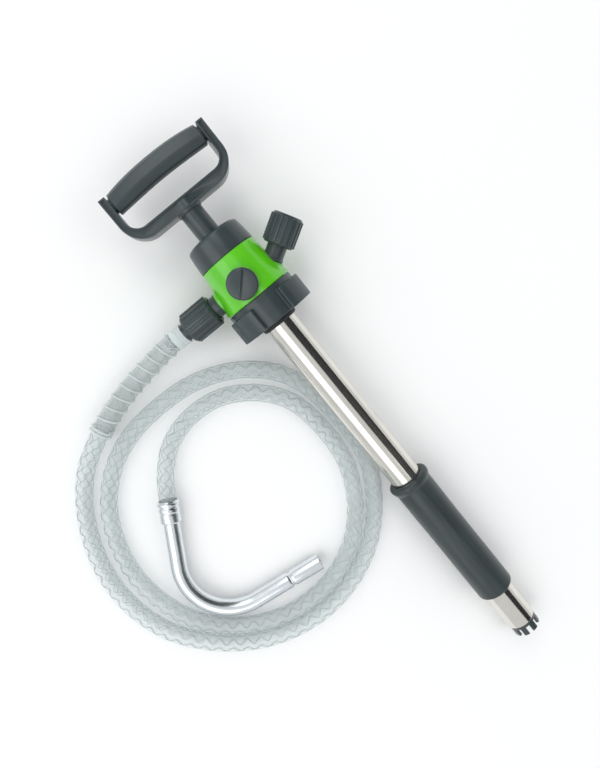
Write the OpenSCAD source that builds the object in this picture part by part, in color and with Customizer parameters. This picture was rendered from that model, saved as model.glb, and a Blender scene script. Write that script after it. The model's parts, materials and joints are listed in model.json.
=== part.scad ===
// Hand-operated lift pump lying on its side: D-handle plunger, green head with three ports,
// long steel cylinder with a foot valve, and a clear delivery hose that ends in a hooked spout.
// Modelled about the cylinder's axis first: Z runs from the handle to the foot, -X is the front
// with the slotted plug, +Y is the valve knob's side. lay_down() then rests it on its ring and sleeve.

/* [Cylinder] */
// Outside diameter of the steel cylinder
tube_od = 30; // [25:0.5:36]
// Wall of the steel cylinder
tube_wall = 1; // [0.8:0.1:1.5]
// Cylinder length below the ring's lower face
tube_drop = 378; // [310:1:460]
// Length of the rubber sleeve
sleeve_len = 144; // [90:1:160]
// Wall of the rubber sleeve
sleeve_wall = 3.4; // [2:0.1:6]
// Bare cylinder between the sleeve and the foot end
sleeve_gap = 42; // [25:1:80]

/* [Head] */
// Radius of the green housing where the cap sits
body_top_r = 27.9; // [25.5:0.1:32]
// Radius of the green housing at the ring
body_low_r = 33.8; // [33:0.1:38]
// Height of the green housing
body_h = 42.4; // [36:0.1:56]
// Height of the top cap
cap_h = 22.5; // [18:0.5:28]
// Radius of the ring over its grip lobes
ring_r = 39.2; // [36.5:0.1:46]
// Height of the ring's grip lobes
ring_h = 21; // [17:0.5:25]
// Plain neck of the ring under the housing
ring_neck = 5.5; // [3:0.5:8]
// Number of grip lobes
lobe_count = 4; // [4:1:6]
// Angle that one lobe covers
lobe_angle = 46; // [34:1:56]
// Roll of the head about the cylinder's axis
head_roll = 10; // [0:1:20]

/* [Ports] */
// Distance of the two side ports above the ring's lower face
port_up = 42; // [40:0.5:44]
// Radius of the hose nipple
nipple_r = 10; // [9:0.1:11]
// Radius of the hose nut over its ribs
nut_r = 15.3; // [13:0.1:16]
// Length of the hose nut
nut_len = 31; // [25:0.5:36]
// Lean of the valve port towards the handle
valve_lean = 30; // [25:1:35]
// Radius of the valve housing
valve_r = 9; // [8:0.1:10]
// Radius of the valve knob over its ribs
knob_r = 14.7; // [12.5:0.1:16]
// Length of the valve knob
knob_len = 27.5; // [24:0.5:34]
// Travel of the valve spindle
valve_lift = 3; // [2:0.5:4]
// Radius of the slotted plug's head
plug_r = 13.6; // [12.5:0.1:15]
// Angle between the plug's slot and the cylinder
slot_turn = 137; // [0:1:180]

/* [Plunger] */
// Outside diameter of the plunger rod
rod_od = 21; // [17:0.5:22]
// Wall of the plunger rod
rod_wall = 2; // [1.5:0.1:3]
// Width of the handle over its arms
handle_w = 111.5; // [92:0.5:136]
// Length of the handle along the cylinder
handle_h = 49.5; // [46:0.5:60]
// Depth of the handle frame
bow_depth = 22; // [18:0.5:26]
// Thickness of the handle's arms
arm_t = 6.5; // [5:0.5:8]
// Thickness of the handle's cross bar
bar_t = 11; // [9:0.5:14]
// Radius of the hand grip
grip_r = 11.5; // [9.5:0.1:12.5]
// Rise of the grip's middle over its ends
grip_bow = 3; // [1:0.5:4]
// Bare rod between the cap and the handle when pushed in
rod_show = 28.5; // [10:1:40]

/* [Hose] */
// Outside diameter of the hose
hose_od = 17; // [15:0.1:17]
// Bore of the hose
hose_bore = 12.4; // [11:0.1:13]
// Radius of the hose guard over its ridges
guard_r = 11.2; // [10.6:0.1:12]
// Outside diameter of the metal spout
spout_od = 16; // [14:0.5:17]
// Wall of the metal spout
spout_wall = 1.2; // [0.8:0.1:2]
// Radius of the spout's bend
spout_bend = 50; // [44:1:52]

/* [Hidden] */
$fn = 72;
plastic = [0.27, 0.31, 0.33];
rubber = [0.12, 0.13, 0.13];
steel = [0.78, 0.78, 0.78];
green = [0.33, 0.75, 0.1];
clear = [0.8, 0.85, 0.85];

// clearances
run_gap = 0.08;
fit_gap = 0.05;
part_gap = 0.2;

// cylinder and its flange, measured from the ring's lower face
tube_r = tube_od / 2;
tube_bore = tube_r - tube_wall;
ring_floor = 6;
flange_t = 3.5;
gasket_t = 2;
flange_top = -ring_floor - flange_t;
body_end = flange_top - gasket_t;
collar_h = 4.5;
collar_r = tube_r + 2.5;

// housing and cap
skirt_r = body_low_r - 0.6;
spigot_r = skirt_r - 4.4;
body_low = -ring_h - ring_neck - part_gap;
body_top = body_low - body_h;
deck_t = 4;
neck_r = body_top_r - 4.9;
neck_h = 11.5;
bush_r = rod_od / 2 + 5.5;
bush_len = 8;
seal_len = neck_h + deck_t - 2.5 - bush_len - part_gap;
bush_low = body_top + deck_t - 2.5;
bush_top = bush_low - bush_len;
neck_top = body_top - neck_h;
cap_top = body_top - cap_h;
cap_roof = 4;

// lobes: two of them carry the pump, so their inner ends set its height
lobe_edge = 180 / lobe_count - lobe_angle / 2;
lobe_chamfer = 1.2;
foot_r = tube_bore - 0.2;
foot_out = 12;
foot_end = tube_drop + foot_out;
sleeve_low = tube_drop - sleeve_gap;
sleeve_top = sleeve_low - sleeve_len;
sleeve_r = tube_r + sleeve_wall;
rim_r = sleeve_r + 2.1;
rim_h = 7;
rest_r = ring_r * cos(lobe_edge);
tilt = atan((rest_r - sleeve_r) / (sleeve_low + lobe_chamfer));
axis_h = sleeve_r * cos(tilt) + sleeve_low * sin(tilt);

// ports, measured from the cylinder's axis outwards
port_at = -port_up;
body_r_port = body_top_r + (body_low_r - body_top_r) * pow((port_at - body_top) / body_h, 1.4);
nipple_in = body_r_port - 8;
nut_start = body_r_port + 7.5;
nut_lip = 6.5;
nipple_end = nut_start + nut_len - 10;
washer_t = 1.5;
tail_collar_t = 1.8;
tail_collar = nipple_end + washer_t;
tail_neck_r = hose_od / 2;
tail_end = nut_start + nut_len + 4;
barb_r = hose_bore / 2 - 0.35;
barb_len = 20;
tail_bore = 4.4;
plug_shank_r = plug_r - 3.6;
plug_seat = body_r_port + 1.7;
plug_washer_t = 1;
plug_head_t = 4.8;
plug_head = plug_seat + plug_washer_t;
slot_w = 2.4;
slot_depth = 2.2;

// valve port: its axis crosses the cylinder's axis at the foot of the housing
valve_at = body_low + 0.7;
valve_in = 25;
valve_face = 46.5;
valve_boss = 34;
valve_socket = 13.5;
housing_end = valve_face + valve_socket;
valve_bore = valve_r - 3;
stem_r = 3;
seat_r = 2.6;
seat_end = valve_in + 6;
spindle_at = seat_end + 9;
spindle_len = 6;
stem_end = valve_face + knob_len - 2.5 - valve_lift - 1;
o_ring_r = 1;

// plunger
rod_r = rod_od / 2;
rod_bore = rod_r - rod_wall;
bar_low = cap_top - rod_show;
bar_top = bar_low - bar_t;
handle_top = bar_low - handle_h;
socket_depth = 8;
rod_top = bar_low - socket_depth;
bow_out = 22;
bow_in = 12;
channel = 1.8;
hub_r = rod_r + 1.5;
grip_at = handle_top + 8;
grip_len = handle_w - 2 * arm_t - 5;
grip_arc = (pow(grip_len / 2, 2) + pow(grip_bow, 2)) / (2 * grip_bow);
grip_half = asin(grip_len / 2 / grip_arc);
pin_r = 3;
screw_r = 2.5;
foot_clear = 16;

// foot valve
mouth_r = tube_bore - 3;
mouth_at = tube_drop - 2;
chamber_r = tube_bore - 5;
ball_r = chamber_r - 2.5;
ball_gap = 1.65;
ball_room = 2;
seat_hole = ball_r - 1.5;
ball_drop = sqrt(ball_r * ball_r - seat_hole * seat_hole);
ball_at = mouth_at - ball_gap - ball_r;
seat_at = ball_at + ball_drop;
plug_top = seat_at - 2 * ball_r - ball_room;
mouth_step = 2;
screen_r = mouth_r - 1;
cage_t = 2.5;
cage_top = plug_top - cage_t;
cage_hole_r = 3;
cage_ring_r = chamber_r - 1.6;
screen_hole_r = 1.3;
screen_ring = (screen_r - screen_hole_r - 1) / 2;
notch_count = 8;
notch_deep = 8;
notch_w = 4.2;

// piston, stacked upwards from the foot valve's cage
stud_end = cage_top - foot_clear;
stud_r = 4;
nut_t = 5;
nut_low = stud_end - 1;
piston_low = nut_low - nut_t;
piston_len = 12;
piston_top = piston_low - piston_len;
piston_r = tube_bore - 0.4;
seal_r = tube_bore - 0.07;
groove_r = tube_bore - 2.4;
disc_t = 1.6;
disc_lift = 3;
stud_flange_t = 2.5;
rod_low = piston_top - disc_t - disc_lift - 0.9 - stud_flange_t;
disc_r = tube_bore - 2.5;
flow_hole_r = 1.6;
flow_ring_r = (stud_r + groove_r) / 2;

// hose route: whole millimetres, measured from the point under the ring's lower face
hose_r = hose_od / 2;
hose_z = 8.6;
hose_sides = 12;
ferrule_len = 22;
ferrule_r = hose_r + 1.7;
bead_r = 1.2;
leg_one = 42.7;
leg_two = 38;
bend_angle = 112;
joint_lap = 0.4;
bend_thin = 0.05;
neck_len = 1.8;
nozzle_len = 31;
socket_len = 9;
spout_angle = -31;
spout_droop = 1.4;
spout_from = [66, -188, ferrule_r + bead_r];
spout_dir = [cos(spout_angle), sin(spout_angle), 0];
tail_point = laid(port_point(tail_end));
free_route = [[-40, -122, 17.6], [-36, -148, 15.4], [-29, -175, 13.6], [-19, -201, 12.4],
    [-3, -229, 9.6], [23, -253, hose_z], [56, -271, hose_z], [92, -281, hose_z],
    [131, -281, hose_z], [168, -270, hose_z], [201, -247, hose_z], [227, -216, hose_z],
    [243, -180, hose_z], [248, -140, hose_z], [241, -101, hose_z], [223, -66, hose_z],
    [196, -39, hose_z], [164, -20, hose_z], [130, -13, hose_z], [94, -14, hose_z],
    [61, -20, hose_z], [32, -37, hose_z], [9, -66, hose_z], [-4, -101, hose_z],
    [-7, -138, hose_z], [-3, -175, hose_z], [11, -208, hose_z], [36, -235, hose_z],
    [68, -252, hose_z], [104, -260, hose_z], [141, -257, hose_z], [175, -244, hose_z],
    [204, -219, hose_z], [223, -187, hose_z], [231, -151, hose_z], [227, -113, hose_z],
    [210, -78, hose_z], [181, -51, hose_z], [145, -35, hose_z], [104, -32, hose_z],
    [68, -39, hose_z], [41, -59, hose_z], [23, -88, hose_z], [19, -121, hose_z],
    [27, -151, 9], [45, -173, 10.4], spout_from];
route = concat([tail_point, laid(port_point(tail_end + barb_len + 4))], free_route, [spout_from + spout_dir * (ferrule_len - 0.5)]);
guard_legs = 5;
guard_steps = 4 * guard_legs;

// the free frame's origin is under the middle of the pump without its hose
knob_end_y = (valve_face + knob_len) * cos(valve_lean) * cos(head_roll);
knob_rim_y = knob_r * sqrt(1 - pow(cos(valve_lean) * cos(head_roll), 2));
tail_end_y = (tail_end + barb_len) * cos(head_roll) + barb_r * sin(head_roll);
grip_mid = grip_at - grip_bow;
low_x = grip_mid * cos(tilt) - grip_r;
high_x = foot_end * cos(tilt) + foot_r * sin(tilt);
centre = [(low_x + high_x) / 2, (knob_end_y + knob_rim_y - tail_end_y) / 2, 0];

// a point on the hose port's axis, in the standing pump's frame
function port_point(t) = [t * sin(head_roll), -t * cos(head_roll), port_at];

// a standing point after the pump is laid down, before it is centred
function laid(p) = [p[2] * cos(tilt) - p[0] * sin(tilt), p[1], axis_h - p[0] * cos(tilt) - p[2] * sin(tilt)];

function unit(v) = v / norm(v);

// direction of the route at point i
function heading(pts, i) = unit(pts[min(i + 1, len(pts) - 1)] - pts[max(i - 1, 0)]);

// points round the route at point i, at radius r
function ring_points(pts, i, r) =
    let (t = heading(pts, i), side = unit(cross(t, [0, 0, 1])), up = cross(side, t))
    [for (k = [0:hose_sides - 1])
        let (a = 360 * k / hose_sides)
        pts[i] + r * (cos(a) * side + sin(a) * up)];

// point at share f (0 to 1) along the first legs of the route
function along(legs, f) =
    let (g = f * legs, i = min(floor(g), legs - 1))
    route[i] + (g - i) * (route[i + 1] - route[i]);

module lay_down() {
    translate([-centre[0], -centre[1], axis_h])
        rotate([0, 90 + tilt, 0])
            children();
}

module on_head() {
    lay_down() rotate([0, 0, head_roll]) children();
}

module on_plug_axis() {
    on_head() translate([0, 0, port_at]) rotate([0, -90, 0]) children();
}

module on_hose_axis() {
    on_head() translate([0, 0, port_at]) rotate([90, 0, 0]) children();
}

module on_valve_axis() {
    on_head() translate([0, 0, valve_at]) rotate([-90 - valve_lean, 0, 0]) children();
}

// a plain tube from a to b along Z
module pipe(r_out, r_in, a, b) {
    rotate_extrude()
        translate([r_in, a])
            square([r_out - r_in, b - a]);
}

// a solid rod from a to b along Z
module rod(r, a, b) {
    translate([0, 0, a]) cylinder(r = r, h = b - a);
}

// a chamfered rod from a to b along Z
module soft_rod(r, a, b, c) {
    rotate_extrude()
        polygon([[0, a], [r - c, a], [r, a + c], [r, b - c], [r - c, b], [0, b]]);
}

module o_ring(ring, thick, at) {
    translate([0, 0, at])
        rotate_extrude()
            translate([ring, 0])
                circle(r = thick, $fn = 24);
}

// closed tube skin round a list of points, hollow if r_in is more than 0
module swept(pts, outer, r_in) {
    n = len(pts);
    s = hose_sides;
    skin_out = [for (i = [0:n - 1]) each ring_points(pts, i, outer[i % len(outer)])];
    skin_in = [for (i = [0:n - 1]) each ring_points(pts, i, r_in)];
    m = n * s;
    walls_out = [for (i = [0:n - 2], k = [0:s - 1])
        [i * s + k, i * s + (k + 1) % s, (i + 1) * s + (k + 1) % s, (i + 1) * s + k]];
    walls_in = [for (i = [0:n - 2], k = [0:s - 1])
        [m + i * s + k, m + (i + 1) * s + k, m + (i + 1) * s + (k + 1) % s, m + i * s + (k + 1) % s]];
    first = [for (k = [0:s - 1]) [k, m + k, m + (k + 1) % s, (k + 1) % s]];
    b = (n - 1) * s;
    last = [for (k = [0:s - 1]) [b + k, b + (k + 1) % s, m + b + (k + 1) % s, m + b + k]];
    translate(-centre)
        polyhedron(points = concat(skin_out, skin_in), faces = concat(walls_out, walls_in, first, last),
            convexity = 12);
}

// ---- head ----

module body_shell() {
    steps = 8;
    rotate_extrude()
        polygon(concat(
            [[0, body_top]],
            [for (i = [0:steps])
                [body_top_r + (body_low_r - body_top_r) * pow(i / steps, 1.4), body_top + body_h * i / steps]],
            [[skirt_r - 3, body_low], [spigot_r, body_low], [spigot_r, body_end], [0, body_end]]));
}

module body_hollow() {
    rotate_extrude()
        polygon([[0, body_top + deck_t], [body_top_r - 3.8, body_top + deck_t],
            [body_low_r - 4.2, body_low - 5.5], [spigot_r - 3.4, body_low - 0.5],
            [spigot_r - 3.4, body_end + 1], [0, body_end + 1]]);
}

module pump_body() {
    color(green) on_head() {
        difference() {
            union() {
                body_shell();
                rod(neck_r, neck_top, body_top + 1);
                translate([0, 0, port_at]) rotate([0, -90, 0]) rod(plug_r + 1.2, 20, plug_seat);
                translate([0, 0, port_at]) rotate([90, 0, 0]) rod(nipple_r + 2.2, 20, body_r_port + 0.4);
                translate([0, 0, valve_at]) rotate([-90 - valve_lean, 0, 0]) rod(valve_r + 2.4, 24, valve_boss);
            }
            body_hollow();
            rod(bush_r, neck_top - 1, bush_low);
            rod(rod_r + 1.5, bush_low - 1, body_top + deck_t + 1);
            translate([0, 0, port_at]) rotate([0, -90, 0]) rod(plug_shank_r + run_gap, 10, plug_seat + 1);
            translate([0, 0, port_at]) rotate([0, -90, 0]) rod(plug_r + 0.4, plug_seat, plug_seat + 20);
            translate([0, 0, port_at]) rotate([90, 0, 0]) rod(nipple_r + fit_gap, 10, body_r_port + 3);
            translate([0, 0, valve_at]) rotate([-90 - valve_lean, 0, 0]) rod(valve_r + fit_gap, 12, valve_face);
        }
    }
}

module top_cap() {
    c = 5;
    color(plastic) lay_down() {
        difference() {
            rotate_extrude()
                polygon(concat(
                    [[0, body_top - part_gap], [body_top_r, body_top - part_gap], [body_top_r - 0.7, body_top - 9]],
                    [for (a = [0:15:75])
                        [body_top_r - 1.8 - c + c * cos(a), cap_top + 1 + c - c * sin(a)]],
                    [[bush_r, cap_top], [0, cap_top]]));
            rod(neck_r + fit_gap, neck_top - part_gap, body_top + 1);
            pipe(neck_r - 1.5, bush_r - 3, cap_top + cap_roof, neck_top + 1);
            rod(rod_r + 0.3, cap_top - 1, neck_top + 1);
        }
    }
}

module guide_bush() {
    color([0.92, 0.9, 0.84]) lay_down() pipe(bush_r - fit_gap, rod_r + run_gap, bush_top, bush_low);
}

module rod_seal() {
    color(rubber) lay_down() pipe(bush_r - fit_gap, rod_r + 0.06, bush_top - seal_len, bush_top);
}

module clamp_ring() {
    top = -ring_h - ring_neck;
    color(plastic) lay_down() {
        difference() {
            union() {
                rod(skirt_r, top, 0);
                for (i = [0:lobe_count - 1])
                    rotate([0, 0, 360 * i / lobe_count + lobe_edge])
                        rotate_extrude(angle = lobe_angle)
                            polygon([[skirt_r - 4, -ring_h], [ring_r - lobe_chamfer, -ring_h],
                                [ring_r, -ring_h + lobe_chamfer], [ring_r, -lobe_chamfer],
                                [ring_r - lobe_chamfer, 0], [skirt_r - 4, 0]]);
            }
            rod(spigot_r + part_gap, top - 1, -ring_floor);
            rod(tube_r + part_gap, -ring_floor - 1, 1);
        }
    }
}

module head_gasket() {
    color(rubber) lay_down() pipe(spigot_r, tube_bore + 0.5, body_end, flange_top);
}

module tube_flange() {
    color(steel) lay_down() pipe(spigot_r, tube_r, flange_top, -ring_floor);
}

module tube_collar() {
    color(rubber) lay_down()
        rotate_extrude()
            polygon([[tube_r, 0.1], [collar_r, 0.1], [collar_r, collar_h - 1], [collar_r - 1, collar_h],
                [tube_r, collar_h]]);
}

module pump_tube() {
    color(steel) lay_down() pipe(tube_r, tube_bore, flange_top, tube_drop);
}

module grip_sleeve() {
    b = rim_h / 2;
    color(rubber) lay_down()
        difference() {
            rotate_extrude()
                polygon(concat(
                    [[0, sleeve_top + b]],
                    [for (a = [135:-15:-60]) [rim_r - b + b * cos(a), sleeve_top + b - b * sin(a)]],
                    [[sleeve_r, sleeve_top + rim_h + 2], [sleeve_r, sleeve_low], [0, sleeve_low]]));
            rod(tube_r, sleeve_top - 1, sleeve_low + 1);
        }
}

// ---- hose port ----

module outlet_nipple() {
    color(plastic) on_hose_axis() pipe(nipple_r, nipple_r - 3.8, nipple_in, nipple_end);
}

module outlet_washer() {
    color(rubber) on_hose_axis() pipe(nipple_r - 0.2, nipple_r - 3.6, nipple_end, tail_collar);
}

module outlet_nut() {
    ribs = 16;
    core = nut_r - 1.1;
    nut_end = nut_start + nut_len;
    color(plastic) on_hose_axis() {
        difference() {
            union() {
                soft_rod(core, nut_start, nut_end, 1.2);
                for (i = [0:ribs - 1])
                    rotate([0, 0, 360 * i / ribs])
                        rotate_extrude(angle = 360 / ribs * 0.5)
                            translate([core - 2, nut_start + 1.6])
                                square([nut_r - core + 2, nut_len - 3.2]);
            }
            rod(nipple_r + run_gap, nut_start - 1, nut_end - nut_lip);
            rod(tail_neck_r + run_gap, nut_start, nut_end + 1);
        }
    }
}

module hose_tail() {
    step = barb_len / 3;
    color(plastic) on_hose_axis()
        difference() {
            union() {
                rod(nipple_r - 0.1, tail_collar, tail_collar + tail_collar_t);
                rod(tail_neck_r, tail_collar, tail_end);
                rod(barb_r - 0.6, tail_collar, tail_end + barb_len);
                for (i = [0:2])
                    translate([0, 0, tail_end + step * i])
                        cylinder(r1 = barb_r, r2 = barb_r - 0.6, h = step);
            }
            rod(tail_bore, tail_collar - 1, tail_end + barb_len + 1);
        }
}

// ---- hose and spout ----

module hose() {
    color(clear) swept(route, [hose_r], hose_bore / 2);
}

module hose_guard() {
    pts = [for (i = [0:guard_steps - 1]) along(guard_legs, i / guard_steps)];
    color(clear) swept(pts, [guard_r - 1.6, guard_r], hose_r + 0.45);
}

module guard_end_ring() {
    last = along(guard_legs, 1);
    from = along(guard_legs, 1 - 1 / guard_steps);
    color(clear) swept([from + unit(last - from) * part_gap, last], [guard_r + 0.3], hose_r + 0.45);
}

// places children along the spout's first leg, with Z running along it
module on_spout() {
    translate(spout_from - centre) rotate([0, 90, spout_angle]) rotate([0, 0, -spout_droop]) children();
}

// places children at the end of the bend, with Z running along the second leg
module on_spout_end() {
    on_spout()
        translate([0, spout_bend, ferrule_len + leg_one])
            rotate([-bend_angle, 0, 0])
                translate([0, -spout_bend, 0])
                    children();
}

module spout_ferrule() {
    color(steel) on_spout()
        difference() {
            union() {
                soft_rod(ferrule_r, 0, ferrule_len, 0.8);
                o_ring(ferrule_r - 0.1, bead_r, 3);
            }
            rod(hose_r + 0.2, -1, ferrule_len - 0.4);
            rod(spout_od / 2, ferrule_len - 1, ferrule_len + 1);
        }
}

module spout_tube() {
    r = spout_od / 2;
    bore = r - spout_wall;
    tail = hose_bore / 2 - 0.4;
    spigot = bore + 0.2;
    color(steel) {
        on_spout() pipe(r, bore, ferrule_len, ferrule_len + leg_one + joint_lap);
        on_spout() pipe(tail, tail - 1, 2, ferrule_len + 1);
        on_spout() pipe(bore + 0.5, tail - 1, ferrule_len, ferrule_len + 1);
        on_spout()
            translate([0, spout_bend, ferrule_len + leg_one])
                rotate([90, 0, -90])
                    rotate_extrude(angle = bend_angle)
                        translate([spout_bend, 0])
                            difference() {
                                circle(r = r - bend_thin);
                                circle(r = bore + bend_thin);
                            }
        on_spout_end() pipe(r, bore, -joint_lap, leg_two);
        on_spout_end() pipe(spigot, spigot - 1, leg_two - 1, leg_two + neck_len + socket_len);
        on_spout_end() pipe(bore + 0.5, spigot - 1, leg_two - 2, leg_two);
    }
}

module spout_nozzle() {
    r = spout_od / 2;
    bore = r - spout_wall;
    from = leg_two + neck_len;
    color(steel) on_spout_end()
        difference() {
            soft_rod(r, from, from + nozzle_len, 0.5);
            rod(bore + 0.2, from - 1, from + socket_len);
            rod(bore, from, from + nozzle_len + 1);
        }
}

// ---- valve port ----

module valve_housing() {
    color(plastic) on_valve_axis()
        difference() {
            rod(valve_r, valve_in, housing_end);
            rod(seat_r, valve_in - 1, seat_end + 1);
            rod(valve_bore, seat_end, housing_end + 1);
        }
}

module valve_spindle() {
    color(steel) on_valve_axis()
        difference() {
            union() {
                translate([0, 0, seat_end + 0.4]) cylinder(r1 = stem_r, r2 = stem_r + 1, h = 8);
                rod(stem_r, seat_end + 0.4, stem_end);
                rod(valve_bore - run_gap, spindle_at - 0.6, spindle_at + spindle_len);
            }
            pipe(valve_bore + 1, valve_bore - 2.1, spindle_at + 1.8, spindle_at + 4.2);
        }
}

module valve_o_ring() {
    color(rubber) on_valve_axis() o_ring(valve_bore - o_ring_r - 0.05, o_ring_r - 0.1, spindle_at + 3);
}

module valve_knob() {
    ribs = 18;
    core = knob_r - 1.1;
    knob_end = valve_face + knob_len;
    color(plastic) on_valve_axis()
        difference() {
            union() {
                soft_rod(core, valve_face, knob_end, 1.6);
                for (i = [0:ribs - 1])
                    rotate([0, 0, 360 * i / ribs])
                        rotate_extrude(angle = 360 / ribs * 0.5)
                            translate([core - 2, valve_face + 1.2])
                                square([knob_r - core + 2, knob_len - 3.4]);
            }
            rod(valve_r + run_gap, valve_face - 1, housing_end + 0.4);
            rod(stem_r + run_gap, valve_face, knob_end - 2.5);
        }
}

// ---- slotted plug ----

module slotted_plug() {
    top = plug_head + plug_head_t;
    color(plastic) on_plug_axis()
        difference() {
            union() {
                rod(plug_shank_r, plug_seat - 9, plug_head + 1);
                soft_rod(plug_r, plug_head, top, 1);
            }
            rotate([0, 0, slot_turn])
                translate([-plug_r - 1, -slot_w / 2, top - slot_depth])
                    cube([2 * plug_r + 2, slot_w, slot_depth + 1]);
            rod(plug_shank_r - 3, plug_seat - 10, plug_seat - 2);
        }
}

module plug_seal() {
    color(rubber) on_plug_axis() pipe(plug_r - 0.8, plug_shank_r + run_gap, plug_seat, plug_head);
}

// ---- handle and plunger ----

// outline of a U from top to low, w wide, its two lower corners rounded with radius r
module u_outline(w, top, low, r) {
    translate([-w / 2, top]) square([w, low - r - top]);
    translate([-w / 2 + r, low - r - 1]) square([w - 2 * r, r + 1]);
    for (side = [-1, 1])
        translate([side * (w / 2 - r), low - r]) circle(r = r);
}

// turns a flat outline in Y and Z into a plate across X
module plate(depth) {
    rotate([90, 0, 90]) linear_extrude(height = depth, center = true) children();
}

module bow_outline(inset) {
    difference() {
        u_outline(handle_w - 2 * inset, handle_top + inset, bar_low - inset, bow_out - inset);
        u_outline(handle_w - 2 * arm_t + 2 * inset, handle_top - 1, bar_top + inset, bow_in + inset);
    }
}

module handle_bow() {
    color(plastic) lay_down()
        difference() {
            union() {
                plate(bow_depth) bow_outline(0);
                rod(hub_r, bar_top, bar_low + 2);
            }
            for (side = [-1, 1])
                translate([side * bow_depth / 2, 0, 0])
                    difference() {
                        plate(5) bow_outline(channel);
                        rod(hub_r + 1.5, bar_top - 1, bar_low + 3);
                    }
            rod(rod_r + fit_gap, rod_top, bar_low + 3);
            rod(screw_r + 0.2, bar_top - 1, rod_top + 1);
            rod(6, bar_top - 1, bar_top + 1.5);
            translate([0, 0, grip_at]) rotate([90, 0, 0]) rod(pin_r + fit_gap, -handle_w, handle_w);
        }
}

module handle_grip() {
    color(plastic) lay_down()
        difference() {
            translate([0, 0, grip_at - grip_bow + grip_arc])
                rotate([0, -90, 0])
                    rotate([0, 0, 180 - grip_half])
                        rotate_extrude(angle = 2 * grip_half, $fn = 360)
                            translate([grip_arc, 0])
                                circle(r = grip_r, $fn = 48);
            translate([0, 0, grip_at]) rotate([90, 0, 0]) rod(pin_r + fit_gap, -handle_w, handle_w);
        }
}

module grip_pin() {
    half = handle_w / 2 - 0.5;
    color(steel) lay_down() translate([0, 0, grip_at]) rotate([90, 0, 0]) rod(pin_r, -half, half);
}

module handle_screw() {
    color(steel) lay_down()
        difference() {
            union() {
                rod(5, bar_top - 1.2, bar_top + 1.5);
                rod(screw_r, bar_top, rod_top + 18);
            }
            translate([-4, -0.6, bar_top - 2]) cube([8, 1.2, 1.8]);
        }
}

module plunger_rod() {
    color(plastic) lay_down() pipe(rod_r, rod_bore, rod_top, rod_low);
}

module rod_top_plug() {
    color([0.92, 0.9, 0.84]) lay_down() pipe(rod_bore - fit_gap, screw_r + fit_gap, rod_top, rod_top + 24);
}

module rod_end_stud() {
    color(steel) lay_down() {
        rod(rod_bore - fit_gap, rod_low - 24, rod_low + 1);
        rod(rod_r, rod_low, rod_low + stud_flange_t);
        rod(stud_r, rod_low, stud_end);
    }
}

module piston_body() {
    color([0.92, 0.9, 0.84]) lay_down()
        difference() {
            rod(piston_r, piston_top, piston_low);
            pipe(piston_r + 1, groove_r, piston_top + 3, piston_low - 3);
            rod(stud_r + fit_gap, piston_top - 1, piston_low + 1);
            for (i = [0:5])
                rotate([0, 0, 60 * i])
                    translate([flow_ring_r, 0, 0])
                        rod(flow_hole_r, piston_top - 1, piston_low + 1);
        }
}

module piston_seal() {
    color(rubber) lay_down() pipe(seal_r, groove_r, piston_top + 3.1, piston_low - 3.1);
}

module piston_valve_disc() {
    color(rubber) lay_down() pipe(disc_r, stud_r + run_gap, piston_top - disc_t, piston_top);
}

module piston_nut() {
    color(steel) lay_down()
        difference() {
            translate([0, 0, piston_low]) cylinder(r = 6.5, h = nut_t, $fn = 6);
            rod(stud_r, piston_low - 1, nut_low + 1);
        }
}

// ---- foot valve ----

module foot_body() {
    color(plastic) lay_down()
        difference() {
            union() {
                rod(tube_bore - fit_gap, plug_top, tube_drop);
                rod(foot_r, tube_drop - 1, foot_end);
            }
            rod(chamber_r, plug_top - 1, seat_at);
            rod(seat_hole, seat_at - 1, mouth_at + 1);
            rod(mouth_r, mouth_at + mouth_step, foot_end + 1);
            rod(screen_r, mouth_at, foot_end);
            pipe(tube_bore + 1, tube_bore - 1.5, plug_top + 5, plug_top + 7.4);
            for (i = [0:notch_count / 2 - 1])
                rotate([0, 0, 360 / notch_count * i])
                    translate([-foot_r - 1, -notch_w / 2, foot_end - notch_deep])
                        cube([2 * foot_r + 2, notch_w, notch_deep + 1]);
        }
}

module foot_o_ring() {
    color(rubber) lay_down() o_ring(tube_bore - 0.75, 0.72, plug_top + 6.2);
}

module foot_valve_ball() {
    color(steel) lay_down() translate([0, 0, ball_at]) sphere(r = ball_r);
}

module ball_cage() {
    color(plastic) lay_down()
        difference() {
            rod(tube_bore - fit_gap, cage_top, plug_top);
            for (i = [0:3])
                rotate([0, 0, 90 * i])
                    translate([cage_ring_r, 0, 0])
                        rod(cage_hole_r, cage_top - 1, plug_top + 1);
        }
}

module inlet_screen() {
    color(steel) lay_down()
        difference() {
            rod(screen_r - fit_gap, mouth_at, mouth_at + 1.2);
            for (i = [0:5], ring = [0:1])
                rotate([0, 0, 60 * i + 30 * ring])
                    translate([screen_ring * (1 + ring), 0, 0])
                        rod(screen_hole_r, mouth_at - 1, mouth_at + 3);
        }
}

pump_body();
top_cap();
guide_bush();
rod_seal();
clamp_ring();
head_gasket();
tube_flange();
tube_collar();
pump_tube();
grip_sleeve();
outlet_nipple();
outlet_washer();
outlet_nut();
hose_tail();
hose();
hose_guard();
guard_end_ring();
spout_ferrule();
spout_tube();
spout_nozzle();
valve_housing();
valve_spindle();
valve_o_ring();
valve_knob();
slotted_plug();
plug_seal();
handle_bow();
handle_grip();
grip_pin();
handle_screw();
plunger_rod();
rod_top_plug();
rod_end_stud();
piston_body();
piston_seal();
piston_valve_disc();
piston_nut();
foot_body();
foot_o_ring();
foot_valve_ball();
ball_cage();
inlet_screen();
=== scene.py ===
"""Hand-operated lift pump: the visual model, built piece by piece round the CAD frame."""
import json
import math

import bpy
from mathutils import Matrix, Vector


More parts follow.
